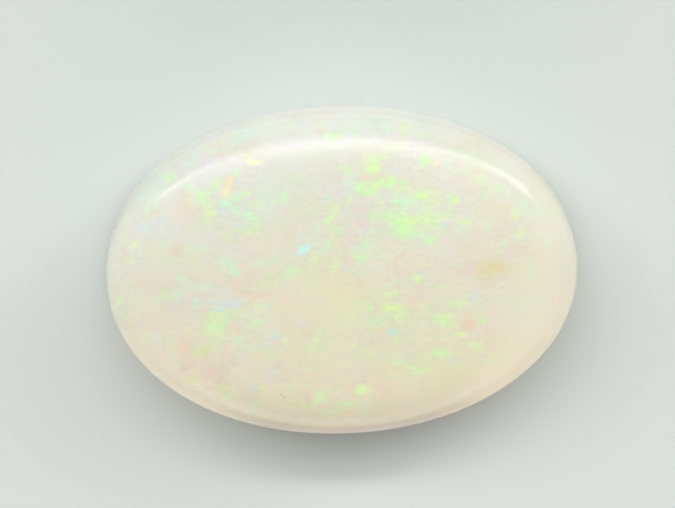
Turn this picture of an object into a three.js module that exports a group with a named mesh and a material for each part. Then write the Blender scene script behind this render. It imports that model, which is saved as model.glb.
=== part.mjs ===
// A loose white opal, cut and polished as an oval cabochon: a low dome with a rounded shoulder,
// an upright girdle and a flat back with a rolled edge. It is one stone, so it is one mesh.
// Millimetres, +Z up, the long axis along X. The stone lies on its flat back at z = 0, and the
// origin is under the middle of its bounding box.
import * as THREE from 'three';
import { mergeVertices } from 'three/addons/utils/BufferGeometryUtils.js';

// The oval, seen from above
const LENGTH = 14;
const WIDTH = 10;
const OVAL_POWER = 2.05; // 2 is a true ellipse, and a little more fills out its corners
const HAND_CUT_LOBES = 3; // the outline strays from the oval by a faint three-sided wave
const HAND_CUT_SHARE = 0.0032;
const HAND_CUT_TURN = THREE.MathUtils.degToRad(23);

// The section, from the flat back up to the crown
const ROLL_IN = 1.0; // the back's rolled edge: how far in from the girdle it starts
const ROLL_HIGH = 0.9;
const ROLL_POWER = 2;
const GIRDLE_HIGH = 0.7; // the upright band round the widest part
const SHOULDER_IN = 0.9; // the rounded shoulder between the girdle and the dome
const SHOULDER_HIGH = 0.9;
const SHOULDER_POWER = 2.3; // 2 is a quarter of an ellipse, and more is squarer
const DOME_RISE = 0.6; // how far the crown stands above the top of the shoulder

// How finely the curves are cut into flat faces
const SIDES = 96;
const ROLL_STEPS = 6;
const SHOULDER_STEPS = 12;
const DOME_STEPS = 9;
const SLOPE_STEP = 1e-3; // radians either side of a point, for the outline's direction there
const MERGE_WITHIN = 1e-4; // closer points than this are one point

const HALF_LENGTH = LENGTH / 2;
const HALF_WIDTH = WIDTH / 2;
const GIRDLE_TOP = ROLL_HIGH + GIRDLE_HIGH;
const DOME_EDGE = HALF_WIDTH - SHOULDER_IN; // the lathe radius where the shoulder meets the dome

// A point of the stone's outline: a superellipse with the faint wave of a hand-cut edge.
function outline(angle) {
  const c = Math.cos(angle);
  const s = Math.sin(angle);
  const fullness = (Math.abs(c) ** OVAL_POWER + Math.abs(s) ** OVAL_POWER) ** (-1 / OVAL_POWER);
  const wave = 1 + HAND_CUT_SHARE * Math.cos(HAND_CUT_LOBES * angle - HAND_CUT_TURN);
  return new THREE.Vector2(c * HALF_LENGTH, s * HALF_WIDTH).multiplyScalar(fullness * wave);
}

// The same point, moved straight in from the outline by a distance.
function insetOutline(angle, inset) {
  const along = outline(angle + SLOPE_STEP).sub(outline(angle - SLOPE_STEP)).normalize();
  return outline(angle).add(new THREE.Vector2(-along.y, along.x).multiplyScalar(inset));
}

// Where a point of the round lathe work goes in the oval. Near the edge, the work's inset from
// its rim is kept, so the shoulder is as wide all the way round. Further in, the ring at the
// shoulder's end shrinks evenly to the middle.
function ovalPoint(angle, radius) {
  if (radius >= DOME_EDGE) return insetOutline(angle, HALF_WIDTH - radius);
  return insetOutline(angle, SHOULDER_IN).multiplyScalar(radius / DOME_EDGE);
}

// A quarter of a superellipse from (0, 0) to (1, 1), upright at its start and level at its end.
function quarter(steps, power) {
  return Array.from({ length: steps + 1 }, (_, i) => {
    const turn = (i / steps) * (Math.PI / 2);
    return [1 - Math.cos(turn) ** (2 / power), Math.sin(turn) ** (2 / power)];
  });
}

// Half of the section as a lathe profile, from the middle of the back to the crown's height
// over the middle. The dome's own rise is added afterwards.
function profile() {
  const roll = quarter(ROLL_STEPS, ROLL_POWER)
    .reverse()
    .map(([inward, down]) => [HALF_WIDTH - ROLL_IN * inward, ROLL_HIGH * (1 - down)]);
  const shoulder = quarter(SHOULDER_STEPS, SHOULDER_POWER).map(([inward, up]) => [
    HALF_WIDTH - SHOULDER_IN * inward,
    GIRDLE_TOP + SHOULDER_HIGH * up,
  ]);
  const dome = Array.from({ length: DOME_STEPS }, (_, i) => [
    DOME_EDGE * (1 - (i + 1) / DOME_STEPS),
    GIRDLE_TOP + SHOULDER_HIGH,
  ]);
  return [[0, 0], ...roll, ...shoulder, ...dome].map(([r, z]) => new THREE.Vector2(r, z));
}

// The round blank turned on a lathe, then pressed into the oval and given its dome.
function stoneGeometry() {
  const geometry = new THREE.LatheGeometry(profile(), SIDES);
  geometry.rotateX(Math.PI / 2); // the lathe turns about Y, and the stone stands along Z
  const position = geometry.getAttribute('position');
  for (let i = 0; i < position.count; i++) {
    const x = position.getX(i);
    const y = position.getY(i);
    const z = position.getZ(i);
    const p = ovalPoint(Math.atan2(y, x), Math.hypot(x, y));
    const out = (p.x / HALF_LENGTH) ** 2 + (p.y / HALF_WIDTH) ** 2;
    const rise = z > ROLL_HIGH ? DOME_RISE * (1 - out) : 0;
    position.setXYZ(i, p.x, p.y, z + rise);
  }
  geometry.deleteAttribute('normal');
  geometry.deleteAttribute('uv');
  const closed = mergeVertices(geometry, MERGE_WITHIN);
  closed.computeBoundingBox();
  const middle = closed.boundingBox.getCenter(new THREE.Vector3());
  closed.translate(-middle.x, -middle.y, 0);
  closed.computeVertexNormals();
  return closed;
}

const opal = new THREE.Mesh(
  stoneGeometry(),
  new THREE.MeshStandardMaterial({ color: 0xe4e3c9, roughness: 0.12, metalness: 0 }),
);
opal.name = 'opal';

const stone = new THREE.Group();
stone.add(opal);

export default stone;
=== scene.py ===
import math

import bpy
import numpy as np
from mathutils import Matrix, Vector


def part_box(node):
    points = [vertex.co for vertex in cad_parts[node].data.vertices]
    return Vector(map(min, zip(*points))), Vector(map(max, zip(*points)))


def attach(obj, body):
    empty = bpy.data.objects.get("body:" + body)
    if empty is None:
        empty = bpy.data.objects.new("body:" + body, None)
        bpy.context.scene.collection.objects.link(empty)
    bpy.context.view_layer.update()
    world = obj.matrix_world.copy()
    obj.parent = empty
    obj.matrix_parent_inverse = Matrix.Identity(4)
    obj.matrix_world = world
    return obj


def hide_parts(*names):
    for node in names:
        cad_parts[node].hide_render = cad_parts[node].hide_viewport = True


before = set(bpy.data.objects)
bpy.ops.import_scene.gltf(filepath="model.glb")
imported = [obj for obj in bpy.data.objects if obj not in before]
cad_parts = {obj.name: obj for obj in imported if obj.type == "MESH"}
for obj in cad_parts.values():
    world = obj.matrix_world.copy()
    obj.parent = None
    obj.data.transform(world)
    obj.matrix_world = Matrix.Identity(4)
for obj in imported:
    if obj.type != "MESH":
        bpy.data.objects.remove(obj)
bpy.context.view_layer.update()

# The camera looks down on the stone as the photograph looks at its face: a little off straight
# above, leaning to the side that is uppermost in the picture, through a long lens.
MM = 0.001
LEAN = math.radians(19.25)
PICTURE_TURN = math.radians(1.715)
PICTURE_WIDE = 20.1 * MM
LENS = 200
FILM_WIDE = 36
AIM_HIGH = 1.5 * MM
AIM_LEFT = 0.131 * MM
AIM_UP = 0.567 * MM

back = Vector((0, math.sin(LEAN), math.cos(LEAN)))
level_right = Vector((1, 0, 0))
level_up = back.cross(level_right)
right = level_right * math.cos(PICTURE_TURN) - level_up * math.sin(PICTURE_TURN)
up = back.cross(right)
stone_middle = Vector((0, 0, AIM_HIGH))
camera_distance = PICTURE_WIDE * LENS / FILM_WIDE
camera_data = bpy.data.cameras.new("camera")
camera_data.lens = LENS
camera_data.sensor_width = FILM_WIDE
camera_data.clip_start = MM
camera = bpy.data.objects.new("camera", camera_data)
bpy.context.scene.collection.objects.link(camera)
turned = Matrix((right, up, back)).transposed().to_4x4()
camera_place = stone_middle - right * AIM_LEFT + up * AIM_UP + back * camera_distance
camera.matrix_world = Matrix.Translation(camera_place) @ turned
bpy.context.scene.camera = camera

# The stone: one milky white opal, sawn from rough, ground to an oval dome on a wheel and polished
# all round, with a flat back. Its plays of colour lie in the stone, so the surface stays smooth.
OVAL_POWER = 2.05
HAND_CUT_LOBES = 3
HAND_CUT_SHARE = 0.0032
HAND_CUT_TURN = math.radians(23)
ROLL_IN = 1.0
ROLL_HIGH = 0.9
ROLL_POWER = 2
GIRDLE_HIGH = 0.7
SHOULDER_IN = 0.9
SHOULDER_HIGH = 0.9
SHOULDER_POWER = 2.3
DOME_RISE = 0.6
SLOPE_STEP = 1e-3  # radians either side of a point, for the oval's direction there
JUST_INSIDE = 0.9999  # of the solid's size, so that no point strays past its box
SIDES = 480
BACK_ROWS = 14
ROLL_ROWS = 16
GIRDLE_ROWS = 6
SHOULDER_ROWS = 32
DOME_ROWS = 100

low, high = (np.array(corner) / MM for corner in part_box("opal"))
half_long, half_wide = (high - low)[:2] / 2


def outline(angle):
    """The oval: a superellipse, whose distance from the middle is one over the root of |cos| and
    |sin| each to OVAL_POWER, with a faint wave of HAND_CUT_LOBES lobes."""
    c, s = np.cos(angle), np.sin(angle)
    full = (abs(c) ** OVAL_POWER + abs(s) ** OVAL_POWER) ** (-1 / OVAL_POWER)
    wave = 1 + HAND_CUT_SHARE * np.cos(HAND_CUT_LOBES * angle - HAND_CUT_TURN)
    return np.stack([half_long * c, half_wide * s], -1) * (full * wave)[:, None]


def inset_outline(angle, inset):
    """The oval moved in along its own normal, by one inset for each row of the grid."""
    along = outline(angle + SLOPE_STEP) - outline(angle - SLOPE_STEP)
    inward = np.stack([-along[:, 1], along[:, 0]], -1) / np.linalg.norm(along, axis=1)[:, None]
    return outline(angle) + inset[:, None, None] * inward


def quarter(rows, power):
    """A quarter of a superellipse from (0, 0) to (1, 1), upright at its start and level at its end."""
    turn = np.linspace(0, np.pi / 2, rows + 1)
    return 1 - np.cos(turn) ** (2 / power), np.sin(turn) ** (2 / power)


def stone_grid():
    """Points in rows x sides, from just off the middle of the back to just short of the crown. Each
    row is the oval inset by so much, shrunk to a share of itself, at one height, and the front
    then gets a dome that falls as the square of the distance from the middle."""
    roll_in, roll_down = quarter(ROLL_ROWS, ROLL_POWER)
    over_in, over_up = quarter(SHOULDER_ROWS, SHOULDER_POWER)
    back_share = np.arange(1, BACK_ROWS) / BACK_ROWS
    wall = np.arange(1, GIRDLE_ROWS) / GIRDLE_ROWS
    dome_share = 1 - np.arange(1, DOME_ROWS) / DOME_ROWS
    girdle_top = ROLL_HIGH + GIRDLE_HIGH
    inset = np.concatenate([
        back_share * 0 + ROLL_IN, ROLL_IN * roll_in[::-1], wall * 0, SHOULDER_IN * over_in,
        dome_share * 0 + SHOULDER_IN,
    ])
    share = np.concatenate([back_share, roll_in * 0 + 1, wall * 0 + 1, over_in * 0 + 1, dome_share])
    height = np.concatenate([
        back_share * 0,
        ROLL_HIGH * (1 - roll_down[::-1]),
        ROLL_HIGH + GIRDLE_HIGH * wall,
        girdle_top + SHOULDER_HIGH * over_up,
        dome_share * 0 + girdle_top + SHOULDER_HIGH,
    ])
    angle = np.arange(SIDES) * 2 * np.pi / SIDES
    plan = inset_outline(angle, inset) * share[:, None, None]
    out = (plan[..., 0] / half_long) ** 2 + (plan[..., 1] / half_wide) ** 2
    front = height >= girdle_top
    z = height[:, None] + front[:, None] * DOME_RISE * (1 - out)
    return np.concatenate([plan, z[..., None]], -1)


def stone_mesh():
    """The grid's points with one more in the middle of the back and one at the crown, and faces
    that close the rows round and the two ends with fans."""
    grid = stone_grid()
    rows = len(grid)
    crown = (0, 0, ROLL_HIGH + GIRDLE_HIGH + SHOULDER_HIGH + DOME_RISE)
    points = np.concatenate([grid.reshape(-1, 3), [(0, 0, 0), crown]])
    own_low, own_high = points.min(0), points.max(0)
    points[:, :2] -= ((own_low + own_high) / 2)[:2]
    points *= (high - low) / (own_high - own_low) * JUST_INSIDE
    here = np.arange(rows * SIDES).reshape(rows, SIDES)
    beside = np.roll(here, -1, axis=1)
    quads = np.stack([here[:-1], beside[:-1], beside[1:], here[1:]], -1).reshape(-1, 4)
    back_fan = np.stack([beside[0], here[0], here[0] * 0 + rows * SIDES], -1)
    crown_fan = np.stack([here[-1], beside[-1], here[0] * 0 + rows * SIDES + 1], -1)
    mesh = bpy.data.meshes.new("opal")
    mesh.from_pydata((points * MM).tolist(), [], quads.tolist() + back_fan.tolist() + crown_fan.tolist())
    mesh.polygons.foreach_set("use_smooth", np.ones(len(mesh.polygons), bool))
    return mesh, points


# The flashes that stand out on the front, by hue, each where it shows on the stone from the
# camera's side: right, up, length and width in millimetres, turn in degrees, and strength.
FLASHES = {
    "green": [
        (-4.1, 2.36, 0.42, 0.16, 14, 0.75), (-5.13, 2.84, 0.32, 0.26, 0, 0.6),
        (-1.73, 2.28, 0.26, 0.24, 0, 0.55), (0.56, 2.58, 0.36, 0.24, 20, 0.9),
        (0.8, 2.47, 0.46, 0.22, 4, 1.0), (1.42, 2.74, 0.3, 0.34, 0, 0.9),
        (1.84, 2.66, 0.2, 0.14, 0, 0.5), (2.48, 3.34, 0.32, 0.26, 0, 0.95),
        (2.5, 2.1, 0.44, 0.24, 0, 0.4), (1.42, 1.66, 0.26, 0.22, 0, 0.85),
        (1.63, 1.66, 0.22, 0.22, 0, 0.7), (1.82, 1.52, 0.44, 0.3, -20, 1.3),
        (1.95, 1.27, 0.52, 0.28, 0, 1.2), (1.8, 1.07, 0.26, 0.16, 0, 0.6),
        (-1.5, 0.06, 0.34, 0.3, 0, 0.42), (0.55, 0.49, 0.4, 0.22, 0, 0.6),
        (-6.6, -0.86, 0.2, 0.18, 0, 0.5), (-3.64, -1.28, 0.3, 0.22, 0, 0.45),
        (-3.86, -1.24, 0.22, 0.18, 0, 0.45), (-3.78, -1.62, 0.46, 0.4, 0, 0.8),
        (-2.56, -1.46, 0.34, 0.2, 8, 0.6), (-0.65, -1.68, 0.16, 0.26, 0, 0.55),
        (3.5, -0.9, 0.48, 0.24, 0, 0.55), (3.05, -1.35, 0.5, 0.3, 0, 0.65),
        (2.98, -2.37, 0.4, 0.22, 0, 0.85), (2.16, -2.84, 0.32, 0.2, -20, 0.5),
        (2.36, -2.92, 0.2, 0.16, 0, 0.3), (-0.65, -3.71, 0.26, 0.36, 0, 0.75),
        (0.18, -3.9, 0.26, 0.3, 0, 0.55), (-0.2, -4.13, 0.32, 0.12, 12, 0.3),
        (4.2, -1.4, 0.24, 0.16, 0, 0.5), (2.64, 1.0, 0.28, 0.2, 0, 0.65),
        (-2.92, 2.36, 0.24, 0.12, 20, 0.55), (-2.52, 0.28, 0.36, 0.24, 0, 0.4),
        (-0.3, 4.1, 0.44, 0.18, 0, 0.7), (-0.2, 1.25, 0.34, 0.3, 0, 0.4),
        (-2.57, 1.38, 0.2, 0.4, 0, 0.3), (-4.16, 2.2, 0.2, 0.16, 0, 0.8),
        (-3.26, 2.38, 0.18, 0.12, 0, 0.55), (-5.8, 1.83, 0.2, 0.18, 0, 0.45),
    ],
    "lime": [
        (-3.75, 2.66, 0.2, 0.2, 0, 0.7), (-3.9, 1.76, 0.3, 0.28, 0, 0.7),
        (-4.0, 1.42, 0.46, 0.26, 0, 0.25), (-3.95, 2.06, 0.26, 0.32, 0, 0.4),
        (-2.8, 2.38, 0.2, 0.1, 22, 0.5), (-1.75, 2.38, 0.14, 0.12, 0, 0.5),
        (-0.4, 1.61, 0.4, 0.16, 40, 0.85), (-0.25, 1.99, 0.24, 0.22, 0, 0.65),
        (-0.82, 0.45, 0.28, 0.2, 55, 0.6), (-0.18, 0.26, 0.28, 0.4, 0, 0.5),
        (0.92, 3.12, 0.32, 0.24, 0, 1.15), (0.97, 3.36, 0.34, 0.28, 0, 0.8),
        (1.25, 3.46, 0.3, 0.18, 0, 0.3), (1.08, 2.68, 0.48, 0.28, 16, 1.15),
        (0.22, 2.2, 0.24, 0.16, 40, 0.75), (0.1, 3.1, 0.24, 0.22, 0, 0.35),
        (0.97, 1.68, 0.24, 0.28, 0, 0.55), (1.88, 2.51, 0.36, 0.14, 0, 0.55),
        (2.36, 2.3, 0.34, 0.26, 0, 1.0), (2.72, 2.2, 0.3, 0.3, 0, 0.4), (3.38, 2.2, 0.28, 0.26, 0, 1.0),
        (2.1, 1.55, 0.3, 0.24, 0, 0.85), (2.4, 1.56, 0.32, 0.26, 0, 0.85),
        (2.58, 1.74, 0.38, 0.24, 0, 0.7), (2.78, 1.6, 0.26, 0.24, 0, 0.55),
        (2.66, 1.4, 0.3, 0.16, 0, 0.35), (3.66, 1.5, 0.3, 0.14, 0, 0.45),
        (3.05, 1.66, 0.22, 0.14, 0, 0.25), (5.13, 1.75, 0.22, 0.28, 0, 0.45),
        (5.33, 1.18, 0.36, 0.2, 35, 0.55), (4.85, 0.94, 0.18, 0.22, 0, 0.45),
        (4.66, 0.66, 0.14, 0.12, 0, 0.25), (-6.21, 0.82, 0.18, 0.18, 0, 0.65),
        (-6.25, 0.32, 0.14, 0.28, 0, 0.3), (-2.5, -1.05, 0.24, 0.2, 0, 0.55),
        (-3.0, -1.12, 0.34, 0.24, 0, 0.4), (-3.64, -1.84, 0.28, 0.2, 0, 0.6),
        (-3.66, -1.5, 0.2, 0.2, 0, 0.5), (-1.68, -2.06, 0.16, 0.24, 0, 0.45),
        (-0.74, -1.96, 0.26, 0.13, 75, 0.45), (-0.92, -2.24, 0.26, 0.22, 0, 0.45),
        (2.25, -0.19, 0.3, 0.24, 0, 0.8), (1.45, -0.62, 0.42, 0.13, 14, 0.65),
        (1.47, -1.05, 0.48, 0.22, 2, 1.0), (1.65, -1.3, 0.16, 0.16, 0, 0.75),
        (1.86, -1.3, 0.3, 0.26, 0, 0.45), (2.44, -0.98, 0.2, 0.28, 0, 0.45),
        (3.28, -1.34, 0.18, 0.28, 0, 0.4), (3.02, -0.36, 0.26, 0.14, 0, 0.45),
        (3.54, -1.82, 0.3, 0.12, 4, 0.6), (4.0, -2.14, 0.46, 0.18, 10, 0.6),
        (4.1, -2.3, 0.3, 0.1, 0, 0.3), (3.02, -1.92, 0.2, 0.1, 0, 0.35),
        (1.66, -2.7, 0.34, 0.18, 0, 0.35), (1.9, -2.78, 0.3, 0.1, -12, 0.45),
        (0.36, -2.1, 0.14, 0.2, 0, 0.35), (0.76, -2.36, 0.26, 0.18, 0, 0.3),
        (0.6, -3.48, 0.38, 0.24, 12, 1.05), (-2.34, -3.52, 0.28, 0.26, 0, 0.4),
        (1.83, 4.24, 0.18, 0.34, 0, 0.35), (-0.04, 4.16, 0.16, 0.2, 0, 0.5),
        (-1.56, 4.32, 0.14, 0.2, 0, 0.35), (-1.06, 4.15, 0.16, 0.24, 0, 0.3),
        (0.94, 0.7, 0.16, 0.16, 0, 0.3), (1.0, 2.33, 0.26, 0.14, 0, 0.3),
        (-0.1, 1.72, 0.2, 0.18, 0, 0.45), (-2.18, -1.3, 0.2, 0.16, 0, 0.45),
        (-0.46, -3.5, 0.2, 0.2, 0, 0.4), (-0.86, 0.62, 0.18, 0.12, 0, 0.45),
        (1.77, 1.8, 0.26, 0.16, 0, 0.7), (-6.5, 1.02, 0.14, 0.28, 0, 0.35),
        (1.9, 1.48, 0.3, 0.18, -20, 1.3), (-2.79, 1.18, 0.22, 0.22, 0, 0.4),
        (1.23, 1.72, 0.14, 0.14, 0, 0.45), (-0.66, 0.68, 0.12, 0.14, 0, 0.35),
        (1.65, 1.69, 0.2, 0.14, 0, 0.9), (1.17, -0.87, 0.22, 0.14, 0, 0.45),
        (2.57, -2.89, 0.22, 0.12, 0, 0.45),
    ],
    "mint": [
        (-3.48, 2.06, 0.36, 0.22, 5, 0.95), (-3.16, 2.24, 0.32, 0.2, 25, 0.9),
        (-3.22, 1.92, 0.26, 0.22, 0, 0.6), (-3.42, 2.24, 0.22, 0.16, 0, 0.6),
        (-2.75, 1.7, 0.3, 0.22, 0, 0.9), (-3.14, 3.04, 0.2, 0.22, 0, 0.55),
        (-3.9, 3.63, 0.26, 0.22, 0, 0.35), (-4.5, 2.66, 0.36, 0.16, 30, 0.4),
        (-2.05, 4.5, 0.26, 0.2, 0, 0.2), (-0.54, 4.4, 0.28, 0.22, 0, 0.35),
        (0.42, 4.24, 0.26, 0.24, 0, 0.2), (-1.22, 2.84, 0.18, 0.12, 0, 0.35),
        (0.32, 2.62, 0.3, 0.2, 0, 0.45), (1.76, 2.12, 0.42, 0.14, 4, 1.2),
        (2.0, 2.13, 0.22, 0.12, 0, 0.8), (2.18, 2.13, 0.24, 0.18, 0, 0.45),
        (-0.4, 2.27, 0.3, 0.12, -25, 0.55), (3.18, 3.18, 0.24, 0.34, 0, 0.3),
        (3.4, 3.62, 0.26, 0.2, 0, 0.35), (3.8, 3.56, 0.26, 0.2, 0, 0.3),
        (4.18, 3.36, 0.3, 0.14, -32, 0.4), (3.8, 3.14, 0.24, 0.2, 0, 0.25),
        (4.12, 2.78, 0.2, 0.36, 0, 0.2), (4.75, 2.4, 0.24, 0.28, 0, 0.3),
        (5.46, 2.07, 0.18, 0.2, 0, 0.35), (3.2, 2.28, 0.18, 0.24, 0, 0.5),
        (-6.4, 1.55, 0.14, 0.4, 0, 0.4), (-4.07, 0.75, 0.24, 0.2, 0, 0.4),
        (-3.42, 0.28, 0.4, 0.32, -20, 0.8), (-3.18, 0.07, 0.3, 0.22, -42, 1.0),
        (-4.74, -0.14, 0.3, 0.14, 0, 0.4), (-4.7, -0.42, 0.18, 0.12, 40, 0.35),
        (-4.36, -0.42, 0.34, 0.2, 0, 0.35), (-4.02, -0.4, 0.2, 0.18, 0, 0.35),
        (0.7, 0.75, 0.42, 0.3, 50, 0.6), (0.42, 0.72, 0.24, 0.2, 0, 0.45),
        (2.38, 1.12, 0.3, 0.14, 0, 0.65), (3.48, 1.32, 0.2, 0.18, -35, 0.4),
        (4.38, 1.4, 0.22, 0.36, 0, 0.25), (4.17, -1.12, 0.16, 0.26, 0, 0.4),
        (-3.04, -1.95, 0.26, 0.18, 0, 0.4), (-2.82, -2.27, 0.28, 0.2, 0, 0.35),
        (-2.28, -0.98, 0.3, 0.1, 10, 0.45), (-2.05, 0.5, 0.22, 0.24, 0, 0.3),
        (1.33, -0.37, 0.22, 0.1, 0, 0.35), (0.1, -1.6, 0.24, 0.16, 0, 0.25),
        (1.03, -1.45, 0.22, 0.18, 0, 0.2), (6.12, 0.93, 0.24, 0.28, 0, 0.2),
        (5.65, 0.12, 0.24, 0.4, 0, 0.25), (0.9, 1.25, 0.2, 0.14, 0, 0.3),
        (0.6, 1.28, 0.1, 0.24, -25, 0.35), (-0.73, 1.35, 0.14, 0.2, 0, 0.35),
        (-5.66, 2.06, 0.34, 0.34, 0, 0.35), (-1.58, 2.64, 0.22, 0.34, 0, 0.3),
        (-2.5, 2.85, 0.14, 0.16, 0, 0.25), (-0.42, 0.86, 0.5, 0.12, 58, 0.45),
        (4.65, 2.58, 0.22, 0.26, 0, 0.3), (2.39, 0.86, 0.2, 0.14, 0, 0.4),
        (2.28, 2.86, 0.2, 0.16, 0, 0.3), (0.62, 0.44, 0.3, 0.2, 0, 0.8),
        (2.16, 1.15, 0.24, 0.18, 0, 0.8),
    ],
    "cyan": [(-1.14, 0.7, 0.32, 0.2, 38, 1.0)],
    "ice": [
        (-2.78, 4.22, 0.62, 0.24, 28, 0.85), (-4.38, 3.5, 0.14, 0.34, 0, 0.6),
        (-6.04, 2.26, 0.4, 0.3, 30, 0.4), (1.34, 4.25, 0.26, 0.2, 0, 0.75),
        (2.2, 4.38, 0.3, 0.14, 0, 0.35), (-1.72, 3.3, 0.34, 0.28, 0, 0.25),
        (3.03, 1.42, 0.28, 0.26, 0, 0.35), (-5.95, 1.42, 0.4, 0.26, 0, 0.35),
        (-4.84, -0.66, 0.24, 0.16, 75, 0.5), (-3.75, -0.96, 0.3, 0.34, 0, 0.55),
        (-3.1, -0.84, 0.38, 0.12, 5, 0.6), (-6.42, -0.18, 0.16, 0.2, 0, 0.45),
        (-1.2, 1.12, 0.2, 0.22, 0, 0.5), (0.97, 0.12, 0.26, 0.2, 0, 0.3),
        (1.82, 0.74, 0.32, 0.14, -15, 0.35), (-2.0, -1.86, 0.28, 0.24, 0, 0.65),
        (-2.25, -2.1, 0.4, 0.3, 20, 0.6), (-3.62, -1.08, 0.26, 0.16, 0, 0.75),
        (1.05, 1.28, 0.2, 0.18, 0, 0.5),
    ],
    "teal": [
        (-4.38, 3.71, 0.12, 0.1, 0, 1.0), (0.95, 4.46, 0.7, 0.34, 0, 0.8),
        (2.46, 4.44, 0.34, 0.26, 0, 0.9), (-5.65, 2.76, 0.4, 0.32, 0, 0.8),
        (-6.08, 2.24, 0.4, 0.3, 40, 0.7), (-6.35, 1.9, 0.14, 0.3, 0, 0.4),
        (-3.1, 3.98, 0.5, 0.26, 0, 0.6), (2.9, 4.2, 0.5, 0.3, 0, 0.3), (-2.6, -3.45, 0.3, 0.26, 0, 0.5),
        (-1.25, 4.52, 0.26, 0.2, 0, 0.7), (1.5, -1.74, 0.42, 0.18, 0, 0.8),
    ],
    "lilac": [
        (-3.77, 2.98, 0.22, 0.14, 0, 0.5), (-3.57, 1.88, 0.3, 0.17, 0, 0.9),
        (-5.42, 1.5, 0.34, 0.24, 0, 0.5), (-6.08, 1.25, 0.24, 0.18, 0, 0.35),
        (-2.85, 2.7, 0.46, 0.2, 0, 0.4), (3.56, 2.47, 0.22, 0.14, 0, 0.5),
        (3.72, 1.9, 0.2, 0.2, 0, 0.4), (-3.25, -0.97, 0.46, 0.15, 0, 0.7),
        (-3.5, -0.87, 0.2, 0.2, 0, 0.65), (-3.72, -0.45, 0.36, 0.2, 0, 0.3),
        (-4.22, -0.82, 0.5, 0.26, 0, 0.35), (2.4, 0.05, 0.2, 0.16, 0, 0.3),
        (3.68, -0.17, 0.22, 0.2, 0, 0.45), (3.2, 0.62, 0.26, 0.2, 0, 0.3),
        (3.32, -2.62, 0.26, 0.2, 0, 0.45), (1.5, 3.08, 0.36, 0.14, 0, 0.35),
        (-6.02, 0.66, 0.2, 0.2, 0, 0.4), (-6.34, 0.6, 0.07, 0.12, 0, 0.5),
        (-5.45, -2.2, 0.12, 0.36, 0, 0.35), (0.1, 0.12, 0.24, 0.2, 0, 0.3),
        (-1.25, -1.45, 0.4, 0.22, 0, 0.3), (-2.22, -3.1, 0.26, 0.28, 0, 0.4),
        (0.7, -3.8, 0.16, 0.24, 0, 0.25), (-1.05, 2.75, 0.2, 0.2, 0, 0.35),
        (3.9, -0.64, 0.36, 0.36, 0, 0.5), (0.96, 3.94, 0.44, 0.26, 0, 0.7),
        (-3.42, 3.94, 0.24, 0.2, 0, 0.6), (-3.08, 1.44, 0.34, 0.26, 0, 0.45),
        (3.46, 1.93, 0.2, 0.18, 0, 0.5), (-5.55, -1.97, 0.26, 0.26, 0, 0.5),
        (1.26, 0.74, 0.2, 0.14, 0, 0.4), (-0.64, 3.57, 0.2, 0.14, 0, 0.3),
        (2.19, 4.22, 0.2, 0.14, 0, 0.4), (0.37, 0.06, 0.22, 0.18, 0, 0.6),
    ],
    "orchid": [
        (3.86, 0.12, 0.24, 0.32, 0, 0.65), (0.27, 0.2, 0.3, 0.28, 0, 0.5),
        (3.12, 0.2, 0.22, 0.36, 0, 0.35), (-1.36, 1.42, 0.22, 0.14, 0, 0.5),
        (-1.24, -2.94, 0.22, 0.24, 0, 0.5), (-2.12, -3.34, 0.1, 0.1, 0, 0.4),
        (-1.66, -1.6, 0.2, 0.14, 0, 0.35), (3.22, 1.3, 0.22, 0.36, 0, 0.5),
        (3.58, 2.0, 0.16, 0.4, 0, 0.4), (-1.65, 1.05, 0.14, 0.3, 0, 0.35),
        (-0.2, 2.42, 0.22, 0.12, 0, 0.45), (-0.16, 2.85, 0.26, 0.36, 0, 0.65),
        (-0.42, 2.82, 0.3, 0.4, 0, 0.35), (-2.12, 3.2, 0.16, 0.3, 0, 0.3),
        (0.56, 1.7, 0.36, 0.7, 0, 0.35), (3.35, 0.25, 0.3, 0.3, 0, 0.3),
        (3.12, 1.5, 0.16, 0.16, 0, 0.5), (2.1, 1.9, 0.2, 0.12, 0, 0.45),
        (1.13, 3.78, 0.26, 0.2, 0, 0.6), (3.06, 0.97, 0.18, 0.18, 0, 0.5),
        (1.02, 1.38, 0.16, 0.14, 0, 0.45), (1.34, 2.1, 0.14, 0.24, 0, 0.6),
    ],
    "amber": [
        (-3.38, 2.54, 0.5, 0.17, 84, 0.95), (-4.57, -1.75, 0.24, 0.28, 0, 0.35),
        (-3.28, -2.15, 0.18, 0.3, 0, 0.25), (-3.44, 2.3, 0.15, 0.2, 0, 1.1),
    ],
    "straw": [
        (-2.62, 3.31, 0.4, 0.14, -6, 0.9), (-3.45, 2.4, 0.17, 0.24, 0, 0.9),
        (0.72, 3.3, 0.16, 0.22, 0, 0.35), (2.86, 3.3, 0.2, 0.14, 0, 0.5),
        (2.74, 2.41, 0.28, 0.09, 0, 0.5), (4.45, 0.92, 0.18, 0.06, 8, 0.45),
        (4.66, -0.36, 0.12, 0.06, 30, 0.5), (4.78, -0.28, 0.12, 0.06, 0, 0.4),
        (1.72, 3.8, 0.3, 0.2, 0, 0.3), (3.85, 2.22, 0.24, 0.18, 0, 0.2), (2.5, 0.26, 0.36, 0.1, 0, 0.3),
        (1.18, 2.1, 0.22, 0.06, 0, 0.4), (3.11, 2.92, 0.2, 0.2, 0, 0.25),
        (2.19, 3.13, 0.2, 0.12, 0, 0.35),
    ],
    "coral": [
        (1.16, 2.92, 0.28, 0.09, 8, 0.9), (0.7, 2.86, 0.4, 0.16, 0, 0.8),
        (0.95, 2.88, 0.2, 0.1, 0, 0.7), (2.13, -0.9, 0.34, 0.16, 0, 0.65),
        (-3.16, -1.6, 0.26, 0.34, 0, 0.4),
    ],
    "rose": [
        (-4.88, 3.14, 0.2, 0.18, 0, 0.45), (-3.22, 2.56, 0.1, 0.14, 0, 0.5),
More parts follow.
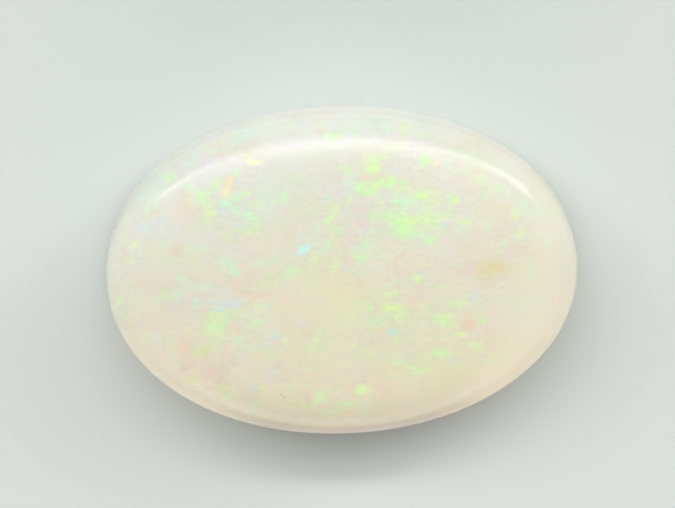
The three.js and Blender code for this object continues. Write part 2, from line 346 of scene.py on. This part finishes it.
        (-4.72, 2.1, 0.3, 0.5, 0, 0.35), (3.4, 2.7, 0.4, 0.14, 20, 0.3), (5.12, 2.5, 0.2, 0.16, 0, 0.4),
        (4.06, 3.86, 0.2, 0.3, 0, 0.3), (3.68, 3.84, 0.22, 0.2, 0, 0.25),
        (-3.14, -0.28, 0.28, 0.2, 0, 0.8), (-3.08, -0.52, 0.24, 0.12, 0, 0.8),
        (-2.55, -0.62, 0.5, 0.24, 0, 0.9), (1.75, 0.54, 0.24, 0.1, 0, 0.9),
        (1.98, 0.0, 0.2, 0.1, 0, 0.55), (2.42, -0.48, 0.22, 0.26, 0, 0.45),
        (5.28, 0.7, 0.66, 0.24, -8, 0.6), (3.56, 0.08, 0.26, 0.3, 0, 0.55),
        (4.82, -0.06, 0.22, 0.12, 0, 0.5), (3.8, -1.54, 0.3, 0.36, 0, 0.85),
        (4.3, -1.72, 0.36, 0.2, 0, 0.35), (-4.7, -2.25, 0.3, 0.6, 0, 0.55),
        (-4.35, -3.52, 0.24, 0.18, 0, 0.5), (-4.05, -3.8, 0.24, 0.16, 0, 0.4),
        (0.68, -3.15, 0.22, 0.2, 0, 0.45), (1.08, -3.45, 0.2, 0.4, 0, 0.35),
        (0.25, -3.5, 0.2, 0.26, 0, 0.4), (1.4, -3.5, 0.3, 0.4, 0, 0.25),
        (1.15, -1.8, 0.24, 0.3, 0, 0.5), (2.95, -2.08, 0.4, 0.14, 0, 0.35),
        (2.9, -1.05, 0.3, 0.2, 0, 0.3), (-2.85, -3.72, 0.3, 0.14, 0, 0.4),
        (1.36, -1.58, 0.3, 0.1, 0, 0.3), (-4.6, -0.97, 0.3, 0.08, 0, 0.35),
        (-4.1, -1.05, 0.2, 0.2, 0, 0.4), (-6.05, -0.3, 0.26, 0.26, 0, 0.3),
        (1.62, 0.25, 0.14, 0.5, 0, 0.35), (-1.62, -4.46, 0.3, 0.12, 0, 0.7),
        (3.38, 1.88, 0.2, 0.2, 0, 0.4), (1.46, 2.02, 0.16, 0.14, 0, 0.35),
        (1.3, 0.78, 0.3, 0.24, 0, 0.35), (-0.42, 2.76, 0.16, 0.2, 0, 0.3),
        (-1.52, 1.2, 0.22, 0.2, 0, 0.6), (0.95, -3.82, 0.18, 0.2, 0, 0.3), (4.3, 2.5, 0.2, 0.2, 0, 0.3),
        (4.0, 1.12, 0.3, 0.26, 0, 0.4), (-3.74, 0.74, 0.24, 0.16, 0, 0.3),
        (1.62, -2.98, 0.2, 0.14, 0, 0.3), (-1.09, -2.74, 0.2, 0.16, 0, 0.35),
        (-0.78, -4.1, 0.18, 0.12, 0, 0.35), (1.74, -2.03, 0.2, 0.16, 0, 0.3),
    ],
    "mauve": [
        (-3.68, -2.92, 0.56, 0.56, 0, 0.85), (-4.7, -2.84, 0.26, 0.4, 0, 0.85),
        (-4.93, 0.7, 0.32, 0.46, 0, 0.5), (-1.0, -3.74, 0.2, 0.24, 0, 0.7),
        (-1.85, -2.85, 0.34, 0.5, 0, 0.4), (-6.5, 0.5, 0.26, 0.4, 0, 0.4),
        (-3.2, -2.7, 0.3, 0.3, 0, 0.35), (0.9, -2.0, 0.2, 0.3, 0, 0.3),
    ],
    "olive": [
        (-4.2, -2.36, 0.56, 0.28, 0, 0.8), (-4.5, -3.14, 0.44, 0.26, 25, 0.75),
        (-4.3, -2.98, 0.2, 0.26, 0, 0.4), (-4.08, -3.53, 0.3, 0.18, 0, 0.6),
        (-3.48, -3.52, 0.32, 0.4, 0, 0.7), (-1.4, -3.86, 0.34, 0.2, 0, 0.5),
        (-2.0, -4.1, 0.26, 0.2, 0, 0.4), (3.6, -3.1, 0.5, 0.5, 0, 0.35),
        (-2.1, -0.2, 0.2, 0.16, 0, 0.4), (-6.27, -1.5, 0.18, 0.32, 0, 0.5),
        (-6.5, -1.33, 0.22, 0.3, 0, 0.7), (-5.3, -0.55, 0.22, 0.2, 0, 0.5),
        (-5.3, -1.02, 0.24, 0.16, 0, 0.4), (-6.15, -2.0, 0.24, 0.22, 0, 0.4),
        (2.12, -2.42, 0.4, 0.26, 0, 0.5), (-2.76, -1.03, 0.2, 0.2, 0, 0.3),
        (-0.4, 0.38, 0.26, 0.24, 0, 0.7), (4.3, -2.5, 0.5, 0.3, 0, 0.25),
        (0.07, 0.47, 0.22, 0.2, 0, 0.5), (-0.97, -0.96, 0.2, 0.16, 0, 0.4),
        (2.87, -1.76, 0.26, 0.14, 0, 0.4), (2.1, -2.06, 0.22, 0.14, 0, 0.4),
        (-1.83, -2.98, 0.24, 0.2, 0, 0.35),
    ],
}

# The faint tints that lie over wider parts of the front, in the same terms. The last, greyish-brown ones
# are painted shade at both ends and the lower left.
TINTS = {
    "mint": [
        (-2.4, 4.3, 2.6, 0.8, 14, 0.2), (4.0, 3.45, 1.6, 0.4, -28, 0.2),
        (-5.5, 2.7, 1.6, 0.9, 45, 0.25), (-2.25, 2.2, 0.7, 0.9, 0, 0.35), (0.4, 4.4, 2.4, 0.6, 0, 0.2),
        (5.0, 3.0, 1.6, 0.4, -45, 0.15), (1.9, 2.0, 1.8, 1.2, 0, 0.35), (3.0, 1.4, 1.4, 1.0, 0, 0.2),
    ],
    "leaf": [
        (1.0, 2.9, 1.2, 1.0, 0, 0.4), (2.4, -1.2, 2.6, 1.4, 0, 0.4), (-2.9, 1.5, 1.0, 1.0, 0, 0.3),
        (-3.5, -1.6, 1.8, 1.2, 0, 0.4), (2.6, -2.2, 2.8, 1.2, 0, 0.4), (-0.5, -2.4, 2.6, 1.0, 0, 0.3),
        (-3.9, 1.8, 1.0, 0.9, 0, 0.25), (1.5, 1.4, 1.6, 1.0, 0, 0.25), (-1.4, 0.2, 1.6, 1.0, 0, 0.3),
        (-1.2, 2.0, 1.2, 0.9, 0, 0.35), (0.8, -1.0, 1.2, 1.2, 0, 0.35), (4.4, 1.9, 1.0, 0.7, 0, 0.15),
        (-4.7, 0.3, 0.9, 0.7, 0, 0.3), (6.3, 1.9, 0.6, 0.4, 0, 0.3), (-2.6, -2.7, 1.6, 1.4, 0, 0.3),
        (5.5, -0.8, 1.2, 1.2, 0, 0.2), (-5.6, 0.7, 1.0, 0.6, 0, 0.25), (2.6, -3.0, 1.6, 0.8, 0, 0.35),
    ],
    "gold": [
        (-0.4, -0.8, 3.4, 2.2, 0, 0.5), (-0.2, -3.3, 3.4, 1.0, 0, 0.35), (2.6, -2.9, 2.6, 0.8, 0, 0.45),
        (-0.3, 1.0, 1.0, 1.0, 0, 0.3), (4.2, -2.6, 1.6, 0.8, 0, 0.35), (0.9, -0.5, 1.2, 0.8, 0, 0.2),
    ],
    "honey": [(4.52, 0.2, 0.9, 0.42, 4, 1.0), (4.3, -0.18, 0.6, 0.5, 0, 0.5)],
    "blush": [
        (-4.7, 1.7, 0.8, 1.0, 0, 0.25), (-1.5, 1.1, 1.2, 0.7, 0, 0.35), (4.7, 1.1, 0.9, 0.5, 0, 0.25),
        (-4.3, -2.9, 1.6, 1.0, 0, 0.4), (-5.7, -1.2, 1.2, 1.6, 0, 0.35), (2.2, -0.7, 1.2, 0.6, 0, 0.25),
        (-1.4, -3.2, 1.6, 0.8, 0, 0.3), (-2.9, -0.2, 1.0, 1.0, 0, 0.35), (1.7, 0.3, 1.0, 0.5, 0, 0.3),
        (5.6, 1.4, 1.0, 0.6, 0, 0.2), (-5.5, -2.4, 1.0, 0.8, 0, 0.2), (1.4, -3.5, 1.2, 0.6, 0, 0.25),
        (3.3, -1.6, 1.8, 1.6, 0, 0.4),
    ],
    "haze": [
        (-0.8, 2.9, 1.4, 1.2, 0, 0.5), (-3.0, 2.7, 1.0, 0.6, 0, 0.4), (-3.6, -0.7, 1.4, 0.6, 0, 0.35),
        (-5.6, 0.4, 1.0, 1.0, 0, 0.5), (0.2, 1.75, 0.5, 0.5, 0, 0.4), (5.5, -1.0, 1.6, 1.6, 0, 0.4),
        (5.4, 1.7, 1.8, 1.6, 0, 0.45), (-5.0, 3.3, 1.2, 0.6, 40, 0.4), (4.9, 0.9, 1.0, 0.8, 0, 0.35),
    ],
    "lilac": [(-4.1, 3.4, 1.5, 0.7, 35, 0.4), (-5.4, 2.7, 1.2, 0.8, 45, 0.3)],
    "pearl": [
        (3.0, 1.7, 3.0, 1.8, 0, 0.45), (3.2, -1.4, 2.4, 2.2, 0, 0.3), (1.2, 0.4, 1.6, 1.4, 0, 0.25),
    ],
    "sea": [(-5.4, 1.4, 1.4, 1.2, 0, 0.3), (5.5, 1.7, 1.4, 1.6, 0, 0.4)],
    # painted shade: a greyish brown that darkens both ends of the oval and the lower left
    "painted_shade_taupe": [
        (-6.0, -0.8, 3.0, 5.0, 0, 0.5), (-4.9, -2.9, 2.0, 1.6, -35, 0.3), (6.7, 0.2, 1.4, 3.4, 0, 0.45),
    ],
}

# What each flash, tint or drift looks like at full strength, in display red, green and blue.
HUES = {
    "green": (213, 255, 187),
    "lime": (224, 251, 184),
    "mint": (210, 251, 212),
    "cyan": (208, 253, 249),
    "ice": (208, 240, 234),
    "teal": (211, 230, 220),
    "lilac": (226, 228, 240),
    "orchid": (236, 214, 220),
    "amber": (253, 233, 186),
    "straw": (253, 250, 204),
    "coral": (245, 215, 195),
    "rose": (237, 211, 196),
    "mauve": (227, 207, 197),
    "olive": (222, 226, 178),
    "honey": (230, 218, 168),
    "leaf": (219, 234, 193),
    "gold": (231, 228, 188),
    "blush": (236, 219, 203),
    "haze": (226, 229, 219),
    "pearl": (243, 240, 227),
    "sea": (215, 231, 220),
    # the greyish brown of the painted shade at the ends
    "painted_shade_taupe": (217, 217, 202),
    "milk": (226, 226, 219),
}

# The body between its marks, from warm to cool. Laid warm down the stone and cool up it, it is painted
# light and shade.
MILK = [(0.0, (234, 224, 201)), (0.45, (231, 227, 209)), (1.0, (229, 230, 228))]

# The drifts of colour that fill the whole stone: the hue, where in the noise they are cut from,
# the noise's bumps per millimetre and detail, where it sets in and is full, and the share there.
DRIFTS = [
    ("milk", (7, 3, 1), 0.9, 3, 0.52, 0.72, 0.35),
    ("blush", (2, 9, 4), 1.1, 4, 0.52, 0.7, 0.35),
    ("leaf", (5, 1, 8), 1.2, 4, 0.53, 0.7, 0.25),
]

# The hues that a small flake may have, by a random number from 0 to 1.
FLAKE_HUES = [
    (0.0, (210, 246, 186)), (0.35, (222, 243, 188)), (0.55, (212, 242, 214)), (0.7, (236, 219, 205)),
    (0.85, (227, 226, 230)), (0.95, (212, 238, 234)),
]

# The fine dark mark like a hair near the lower edge, in millimetres from the stone's middle.
HAIR_RIGHT = -1.87
HAIR_UP = -3.37
HAIR_TURN = math.radians(-43)
HAIR_HALF_LONG = 0.13
HAIR_HALF_WIDE = 0.05
HAIR_WANDER = 0.08


def linear(display):
    """Display red, green and blue from 0 to 255, as the light that Blender works in."""
    share = np.array(display) / 255
    return np.where(share < 0.04045, share / 12.92, ((share + 0.055) / 1.055) ** 2.4)


def shade(display):
    """The same as a socket's colour, with its fourth number."""
    return (*linear(display), 1)


def smooth(value, start, end):
    """0 before start, 1 past end, and an S-curve between them."""
    share = np.clip((value - start) / (end - start), 0, 1)
    return share * share * (3 - 2 * share)


def stone_fields(mesh, points):
    """What the material needs at every point of the stone, from FLASHES and TINTS.
    A flash is an ellipsoid on the surface, and the gap to it is the distance from its middle along
    its three axes, each over the half length: 0 in the middle and 1 on the rim.
    Depth: one less the gap, softly the largest over all flashes, which is the log of the sum of e
    to the crispness times each, over the crispness. Colour and strength are shared by the same
    weights. Liveliness: the flashes' strengths, each fading with e to minus the square of the
    distance over the reach. Tints lie over each other, fading with e to minus the gap squared.
    Hidden: 1 on the parts that the camera's side doesn't show. They have no flash and no tint."""
    deep = 1.4
    crispness = 4.5
    reach = 0.5
    lowest_depth = -3
    edge_on, well_seen = 0.08, 0.3
    hidden_lively = 0.45
    normals = np.empty(len(points) * 3)
    mesh.vertex_normals.foreach_get("vector", normals)
    shows = smooth(normals.reshape(-1, 3) @ np.array(back), edge_on, well_seen)
    away = points - np.array(stone_middle) / MM
    inward = away @ np.array(back)
    closer = 1 / (1 - inward / (camera_distance / MM))
    across, upward = away @ np.array(right) * closer, away @ np.array(up) * closer
    seen = np.flatnonzero(shows > 0.5)

    def gaps(mark):
        """Each point's gap to a mark, and how far right of it and above it the point lies."""
        x, y, long, wide, turn = mark[:5]
        middle = seen[np.argmin(np.hypot(across[seen] - x, upward[seen] - y))]
        c, s = math.cos(math.radians(turn)), math.sin(math.radians(turn))
        dx, dy = across - x, upward - y
        along, over = (dx * c + dy * s) / (long / 2), (dy * c - dx * s) / (wide / 2)
        return np.sqrt(along ** 2 + over ** 2 + ((inward - inward[middle]) / (deep / 2)) ** 2), dx, dy

    count = len(points)
    total, strength, lively = np.zeros(count), np.zeros(count), np.zeros(count)
    colour, tint, veil = np.zeros((count, 3)), np.zeros((count, 3)), np.zeros(count)
    for hue, marks in FLASHES.items():
        for mark in marks:
            gap, dx, dy = gaps(mark)
            depth = np.maximum(1 - gap, lowest_depth)
            weight = np.exp(crispness * depth)
            total += weight
            colour += weight[:, None] * linear(HUES[hue])
            strength += weight * mark[5]
            lively += mark[5] * np.exp(-(dx ** 2 + dy ** 2) / reach ** 2)
    for hue, marks in TINTS.items():
        for mark in marks:
            share = mark[5] * np.exp(-gaps(mark)[0] ** 2)
            tint += (share * (1 - veil))[:, None] * linear(HUES[hue])
            veil += share * (1 - veil)
    lively = np.clip(lively, 0, 1) * shows + hidden_lively * (1 - shows)
    tint /= np.maximum(veil, 1e-6)[:, None]
    return {
        "flash_depth": np.log(total) / crispness,
        "flash_strength": strength / total * shows,
        "lively": lively,
        "flash_colour": colour / total[:, None],
        "tint": tint,
        "tint_share": veil * shows,
        "hidden": 1 - shows,
    }


class Wire:
    """A socket of a material. Sums on values add Math nodes, and add makes any other node."""

    def __init__(self, tree, socket=None):
        self.tree = tree
        self.socket = socket

    def add(self, kind, settings, sockets, out=0):
        """A node's output: its settings are made first, and then its sockets' values or links."""
        node = self.tree.nodes.new(kind)
        for name, value in settings.items():
            if name == "stops":
                lay_stops(node.color_ramp, value)
            else:
                setattr(node, name, value)
        for name, value in sockets.items():
            if isinstance(value, Wire):
                self.tree.links.new(value.socket, node.inputs[name])
            else:
                node.inputs[name].default_value = value
        return Wire(self.tree, node.outputs[out])

    def math(self, operation, first, second=0.0):
        return self.add("ShaderNodeMath", {"operation": operation}, {0: first, 1: second})

    def __add__(self, other):
        return self.math("ADD", self, other)

    def __sub__(self, other):
        return self.math("SUBTRACT", self, other)

    def __rsub__(self, other):
        return self.math("SUBTRACT", other, self)

    def __mul__(self, other):
        return self.math("MULTIPLY", self, other)

    def __abs__(self):
        return self.math("ABSOLUTE", self)

    __radd__ = __add__
    __rmul__ = __mul__

    def axis(self, name):
        """One coordinate of a place: X, Y or Z."""
        return self.add("ShaderNodeSeparateXYZ", {}, {0: self}, name)

    def rise(self, start, end):
        """0 at start, 1 at end, and an S-curve between them."""
        settings = {"interpolation_type": "SMOOTHSTEP"}
        sockets = {"Value": self, "From Min": start, "From Max": end}
        return self.add("ShaderNodeMapRange", settings, sockets)

    def tinted(self, other, share):
        """This colour with a share of another."""
        return self.add("ShaderNodeMix", {"data_type": "RGBA"}, {0: share, 6: self, 7: other}, 2)

    def times(self, tone, share):
        """This colour with a share of it multiplied by a tone, in linear light."""
        settings = {"data_type": "RGBA", "blend_type": "MULTIPLY"}
        return self.add("ShaderNodeMix", settings, {0: share, 6: self, 7: (*tone, 1)}, 2)

    def stretched(self, by):
        return self.add("ShaderNodeVectorMath", {"operation": "MULTIPLY"}, {0: self, 1: by})

    def moved(self, by):
        return self.add("ShaderNodeVectorMath", {"operation": "ADD"}, {0: self, 1: by})

    def noise(self, per_mm, detail, out="Fac"):
        """Cloudy noise with so many bumps to a millimetre."""
        sockets = {"Vector": self, "Scale": per_mm, "Detail": detail}
        return self.add("ShaderNodeTexNoise", {}, sockets, out)

    def cells(self, per_mm):
        """Irregular cells that fill the stone, each a random colour that blends into the next."""
        sockets = {"Vector": self, "Scale": per_mm, "Smoothness": 0.35}
        return self.add("ShaderNodeTexVoronoi", {"feature": "SMOOTH_F1"}, sockets, "Color")

    def part(self, name):
        """One channel of a colour: Red, Green or Blue."""
        return self.add("ShaderNodeSeparateColor", {}, {0: self}, name)

    def ramp(self, stops):
        """A colour for each value from 0 to 1, laid between stops of a value and a display colour."""
        return self.add("ShaderNodeValToRGB", {"stops": stops}, {0: self})

    def field(self, name, out="Fac"):
        """A value, or with "Color" a colour, that stone_fields has given each point."""
        return self.add("ShaderNodeAttribute", {"attribute_name": name}, {}, out)


def lay_stops(ramp, stops):
    """A colour ramp's stops, of which a new ramp has two."""
    while len(ramp.elements) < len(stops):
        ramp.elements.new(0.5)
    for element, (value, display) in zip(ramp.elements, stops):
        element.position = value
        element.color = shade(display)


def ground_colour(place, across_stone, up_stone):
    """The milky ground, clouded, under the wide tints and the drifts, with painted light and shade:
    cooler up the stone, the side that faces the lamps, and warmer down it, the side in shade. It is also
    a little cooler to the left.
    """
    cloud = place.noise(0.7, 3)
    # painted light and shade: the ramp runs cooler up the stone and warmer down it, and the cloud varies
    # it at random
    cloud_and_painted_light = up_stone * 0.09 - across_stone * 0.025 + cloud * 0.7 + 0.1
    body = cloud_and_painted_light.ramp(MILK)
    body = body.tinted(place.field("tint", "Color"), place.field("tint_share"))
    for hue, offset, per_mm, detail, sets_in, full, share in DRIFTS:
        drift = place.moved(offset).noise(per_mm, detail).rise(sets_in, full)
        body = body.tinted(shade(HUES[hue]), drift * share)
    return body


def flakes(place, size, share, bed):
    """Small flat flakes of colour all through the stone: cells of a size in millimetres, bent by
    noise and flattened as they were bedded, of which a share is lit, each in a random hue."""
    bent = place.moved(place.noise(2.2, 2, "Color").stretched((0.35,) * 3)).stretched(bed)
    cell = bent.cells(1 / size)
    lit = cell.part("Red").rise(1 - share, 1.0)
    return lit, cell.part("Green").ramp(FLAKE_HUES)


def flaked(body, place, lively):
    """The body with its small flakes: coarse and fine ones, stronger where the front is lively, and
    large ones in drifts on the hidden sides. The hue of the last is handed on to the flashes."""
    coarse, hue = flakes(place, 0.45, 0.5, (1, 1.5, 1.2))
    body = body.tinted(hue, coarse * (lively * 0.24 + 0.07))
    fine, hue = flakes(place.moved((3, 3, 3)), 0.22, 0.5, (1.0, 1.5, 1.2))
    body = body.tinted(hue, fine * (lively * 0.08 + 0.03))
    large, hue = flakes(place.moved((6, 2, 5)), 0.42, 0.42, (1.0, 1.3, 1.5))
    drifts = place.moved((1, 4, 9)).noise(0.6, 2).rise(0.42, 0.58)
    return body.tinted(hue, large * drifts * place.field("hidden") * 0.8), hue


def flashed(body, place, flake_hue):
    """The body with its flashes. Noise, grain and facets make a flash's rim ragged, and grain and
    facets make it uneven inside. Its colour has a trace of the flakes' in it."""
    grain = place.stretched((2.8, 4.4, 3.4)).noise(1.0, 1)
    facet = place.stretched((1, 1.4, 1)).cells(5.5).part("Red")
    ragged = place.field("flash_depth") + (place.noise(3.0, 1) - 0.5) * 1.5
    ragged = ragged + (grain - 0.5) * 0.6 + (facet - 0.5) * 0.3
    core = ragged.rise(-1.05, 0.85) * (0.55 + grain * 0.45 + facet * 0.15)
    glint = place.field("flash_colour", "Color").tinted(flake_hue, 0.12)
    return body.tinted(glint, core * place.field("flash_strength"))


def painted_light_shade_and_specks(body, place, across_stone, up_stone, height, lively):
    """The body with painted light and shade for how the lamps fall on the stone, and with darker specks
    between the flakes:
    painted shade on the lower front, on the lower edge, on the side wall and on the upper shoulder, a
    painted glow in a band just inside the lower edge, and painted light on the side wall up the stone.
    How far out a point is goes as the square of its distance from the middle: 0 there and 1 on the oval."""
    out = across_stone * across_stone * half_long ** -2 + up_stone * up_stone * half_wide ** -2
    lower = up_stone.rise(-1.5, -4.5)
    upper = up_stone.rise(1.5, 3.5)
    middle = 1 - abs(across_stone).rise(2.3, 5.0)
    # where a painted glow lies, in a band just inside the lower edge
    painted_glow_band = out.rise(0.68, 0.76) * (1 - out.rise(0.78, 0.84)) * lower
    mottle = place.stretched((1, 1.6, 1.3)).noise(5, 2).rise(0.7, 0.3)
    tones = [
        ((0.85, 0.875, 0.85), out.rise(0.4, 0.7) * lower * middle),  # painted shade on the lower front, which turns away from the lamps
        ((1.05, 1.04, 1.12), painted_glow_band),  # a painted glow in a band just inside the lower edge
        ((0.86, 0.84, 0.98), out.rise(0.78, 0.87) * lower * middle * middle),  # painted shade on the lower edge
        ((0.94, 0.94, 0.95), height.rise(1.8, 1.5) * (1 - upper)),  # painted shade on the side wall, but not up the stone
        ((1.1, 1.09, 1.08), height.rise(2.0, 1.65) * upper),  # painted light on the side wall up the stone
        ((0.83, 0.82, 0.815), out.rise(0.72, 0.92) * up_stone.rise(0.5, 4.5)),  # painted shade on the upper shoulder
        ((0.94, 0.94, 0.94), mottle * (lively * 0.7 + 0.05)),  # specks between the flakes
    ]
    for tone, share in tones:
        body = body.times(tone, share)
    return body


def hair_marked(body, place, across_stone, up_stone, height):
    """The body with the dark mark: a band about a slanted line that wanders a little, fading at
    both ends, on the front alone."""
    slant, lean = math.cos(HAIR_TURN), math.sin(HAIR_TURN)
    right_of = across_stone - HAIR_RIGHT
    up_of = up_stone - HAIR_UP
    wander = (place.noise(9.0, 1) - 0.5) * HAIR_WANDER
    beside = abs(up_of * slant - right_of * lean + wander)
    along = abs(right_of * slant + up_of * lean)
    on_front = height.rise(2.3, 2.5)
    hair = beside.rise(HAIR_HALF_WIDE, 0.01) * along.rise(HAIR_HALF_LONG, 0.06) * on_front
    return body.times((0.86, 0.85, 0.8), hair)


def opal_material():
    """Milky stone under a polish, which is a little less fine on the side wall than on the dome.
    The light goes in and is scattered, red the furthest."""
    material = bpy.data.materials.new("milky opal")
    material.use_nodes = True
    shader = material.node_tree.nodes["Principled BSDF"]
    tree = Wire(material.node_tree)
    place = tree.add("ShaderNodeTexCoord", {}, {}, "Object").stretched((1 / MM,) * 3)
    across_stone, up_stone, height = place.axis("X"), place.axis("Y"), place.axis("Z")
    lively = place.field("lively")

    body = ground_colour(place, across_stone, up_stone)
    body, flake_hue = flaked(body, place, lively)
    body = flashed(body, place, flake_hue)
    # painted light and shade, and the darker specks, go over the flashes
    body = painted_light_shade_and_specks(body, place, across_stone, up_stone, height, lively)
    body = hair_marked(body, place, across_stone, up_stone, height)
    dull = height.rise(2.4, 1.7) * 0.15 + 0.1
    material.node_tree.links.new(body.socket, shader.inputs["Base Color"])
    material.node_tree.links.new(dull.socket, shader.inputs["Roughness"])
    shader.inputs["IOR"].default_value = 1.45
    shader.inputs["Subsurface Weight"].default_value = 0.8
    shader.inputs["Subsurface Radius"].default_value = (1.0, 0.8, 0.65)
    shader.inputs["Subsurface Scale"].default_value = 2.6 * MM
    return material


mesh, points = stone_mesh()
for name, values in stone_fields(mesh, points).items():
    if values.ndim == 1:
        mesh.attributes.new(name, "FLOAT", "POINT").data.foreach_set("value", values)
    else:
        rgba = np.concatenate([values, np.ones((len(values), 1))], 1).ravel()
        mesh.attributes.new(name, "FLOAT_COLOR", "POINT").data.foreach_set("color", rgba)
stone = bpy.data.objects.new("cabochon", mesh)
bpy.context.scene.collection.objects.link(stone)
mesh.materials.append(opal_material())
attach(stone, "root")
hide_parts("opal")

# The floor: a plain sheet of pale matt paper that the stone lies on. It is flat, and wide enough
# to fill every view.
FLOOR_HALF = 0.6
FLOOR_COLOUR = (214, 220, 217)
FLOOR_ROUGHNESS = 0.9

floor_mesh = bpy.data.meshes.new("floor")
corners = [(x * FLOOR_HALF, y * FLOOR_HALF, 0) for x, y in ((-1, -1), (1, -1), (1, 1), (-1, 1))]
floor_mesh.from_pydata(corners, [], [(0, 1, 2, 3)])
floor = bpy.data.objects.new("floor", floor_mesh)
bpy.context.scene.collection.objects.link(floor)
paper = bpy.data.materials.new("pale paper")
paper.use_nodes = True
paper_shader = paper.node_tree.nodes["Principled BSDF"]
paper_shader.inputs["Base Color"].default_value = shade(FLOOR_COLOUR)
paper_shader.inputs["Roughness"].default_value = FLOOR_ROUGHNESS
paper_shader.inputs["Specular IOR Level"].default_value = 0
floor_mesh.materials.append(paper)

# The light: a pale room with a broad soft bank of light round the far side and overhead, whose
# lower edge is crisp and whose top fades. Soft lamps help it: a key and two more on the far side,
# a warm one low on the near side, and a small cool one close by on the left.
ROOM_GLOW = 0.2
SIDE_GLOW = 0.08
BANK_GLOW = 2.15
BANK_END_GLOW = 5.4  # added towards the bank's ends, as the square of how far to the side

room = bpy.data.worlds.new("room")
room.use_nodes = True
sky = Wire(room.node_tree)
direction = sky.add("ShaderNodeTexCoord", {}, {}, "Generated")
side, far, high_up = direction.axis("X"), direction.axis("Y"), direction.axis("Z")
sideways = abs(side)
squared = sideways * sideways

# How far over to the far side a direction points, and further at both ends, says where it meets
# the bank, which fades in from overhead, later off the middle, and stops at its crisp edge.
bent = far + squared * squared * 0.5 + side.rise(-0.35, -0.75) * 0.1
off_middle = side.rise(0.05, 0.55) + side.rise(-0.15, -0.75)
crisp_edge = bent.rise(0.84, 0.72)
fade = far.add("ShaderNodeMapRange", {}, {
    "Value": bent, "From Min": off_middle * 0.42 + 0.05, "From Max": off_middle * 0.23 + 0.5,
})
ends = side.rise(-0.81, -0.7) * side.rise(0.87, 0.82)
above_floor = high_up.rise(0.0, 0.1)
bank = crisp_edge * fade * ends * above_floor * (squared * BANK_END_GLOW + BANK_GLOW)
sides = sideways.rise(0.5, 1.0) * (1 - high_up.rise(0.2, 0.7))
glow = bank + ROOM_GLOW + sides * SIDE_GLOW
background = room.node_tree.nodes["Background"]
room.node_tree.links.new(glow.socket, background.inputs["Strength"])
background.inputs["Color"].default_value = (1.0, 1.0, 1.0, 1)
bpy.context.scene.world = room

# Each lamp: its name, place, width and height in metres, power in watts, colour, and whether the
# polished stone mirrors it.
LAMPS = [
    ("key", (0, 0.745, 0.667), 1.0, 0.07, 3.05, (1.0, 1.0, 1.0), False),
    ("far left", (-0.694, 0.583, 0.423), 0.25, 0.15, 0.8, (0.94, 0.98, 1.0), False),
    ("far right", (0.694, 0.583, 0.423), 0.25, 0.15, 0.6, (0.96, 0.98, 1.0), False),
    ("near side", (0, -1, 0.18), 1.6, 0.24, 8.2, (1.0, 0.9, 0.8), False),
    ("left", (-0.25, -0.05, 0.06), 0.03, 0.05, 0.01, (0.85, 0.93, 1.0), True),
]
for name, place, wide, tall, power, colour, mirrored in LAMPS:
    lamp_data = bpy.data.lights.new(name, "AREA")
    lamp_data.shape = "RECTANGLE"
    lamp_data.size = wide
    lamp_data.size_y = tall
    lamp_data.energy = power
    lamp_data.color = colour
    lamp = bpy.data.objects.new(name, lamp_data)
    bpy.context.scene.collection.objects.link(lamp)
    facing_stone = Vector(place).to_track_quat("Z", "Y").to_matrix().to_4x4()
    lamp.matrix_world = Matrix.Translation(place) @ facing_stone
    lamp.visible_camera = False
    lamp.visible_glossy = mirrored
bpy.context.scene.view_settings.view_transform = "Standard"
